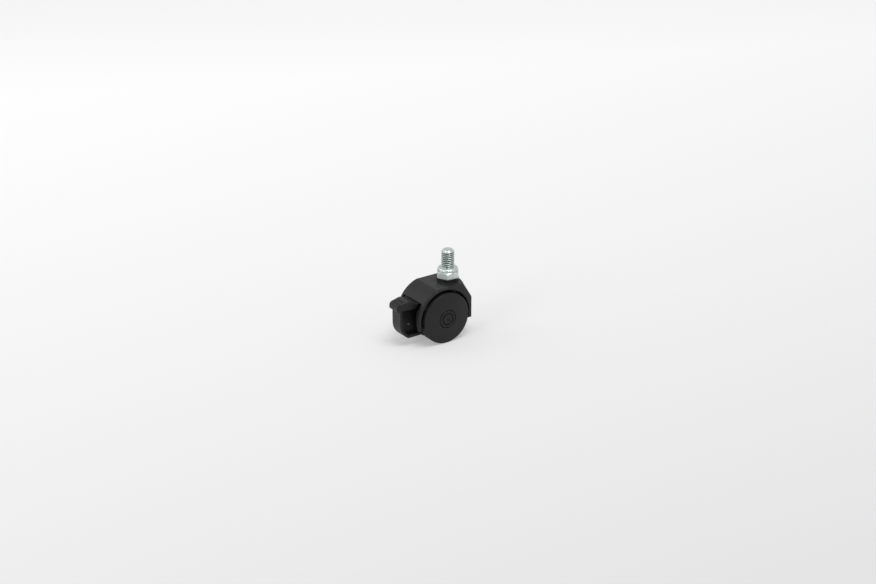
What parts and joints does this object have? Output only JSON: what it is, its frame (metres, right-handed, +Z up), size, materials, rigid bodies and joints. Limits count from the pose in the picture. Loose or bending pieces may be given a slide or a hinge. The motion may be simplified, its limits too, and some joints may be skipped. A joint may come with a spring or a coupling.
{
  "type": "braked threaded stem castor",
  "caption": "Hooded furniture castor that swivels on a threaded stem with a hex and a collar; a foot pedal at the back locks its wheels.",
  "frame": {"origin": "on the stem's axis at the flat top of the collar, where the thread starts", "axes": "+Z up the thread, +X away from the brake pedal, +Y along the axle to the left wheel"},
  "size_m": [0.0646, 0.036, 0.0675],
  "materials": {
    "plated_steel": "bright zinc plating",
    "spring_steel": "oiled spring steel",
    "bright_steel": "drawn steel",
    "hood_plastic": "fine satin texture",
    "wheel_plastic": "smooth satin",
    "cap_plastic": "smooth satin",
    "pedal_plastic": "satin, grained on the pad"
  },
  "bodies": {
    "stem": {"threaded_stem": "plated_steel", "stem_snap_ring": "spring_steel"},
    "hood": {"hood": "hood_plastic", "axle": "bright_steel", "axle_washer_right": "spring_steel", "axle_washer_left": "spring_steel", "pedal_pin": "bright_steel"},
    "wheel_right": {"wheel_right": "wheel_plastic", "hub_cap_right": "cap_plastic"},
    "wheel_left": {"wheel_left": "wheel_plastic", "hub_cap_left": "cap_plastic"},
    "brake_pedal": {"brake_pedal": "pedal_plastic", "brake_bar": "bright_steel"}
  },
  "joints": [
    {"name": "swivel", "type": "hinge", "parent": "stem", "child": "hood", "pos_m": [0, 0, 0], "axis": [0, 0, 1], "continuous": true},
    {"name": "wheel_right_roll", "type": "hinge", "parent": "hood", "child": "wheel_right", "pos_m": [-0.0124, -0.0123, -0.0336], "axis": [0, 1, 0], "continuous": true},
    {"name": "wheel_left_roll", "type": "hinge", "parent": "hood", "child": "wheel_left", "pos_m": [-0.0124, 0.0123, -0.0336], "axis": [0, 1, 0], "continuous": true},
    {"name": "brake_press", "type": "hinge", "parent": "hood", "child": "brake_pedal", "pos_m": [-0.0259, 0, -0.0428], "axis": [0, -1, 0], "range_deg": [0, 14]}
  ]
}
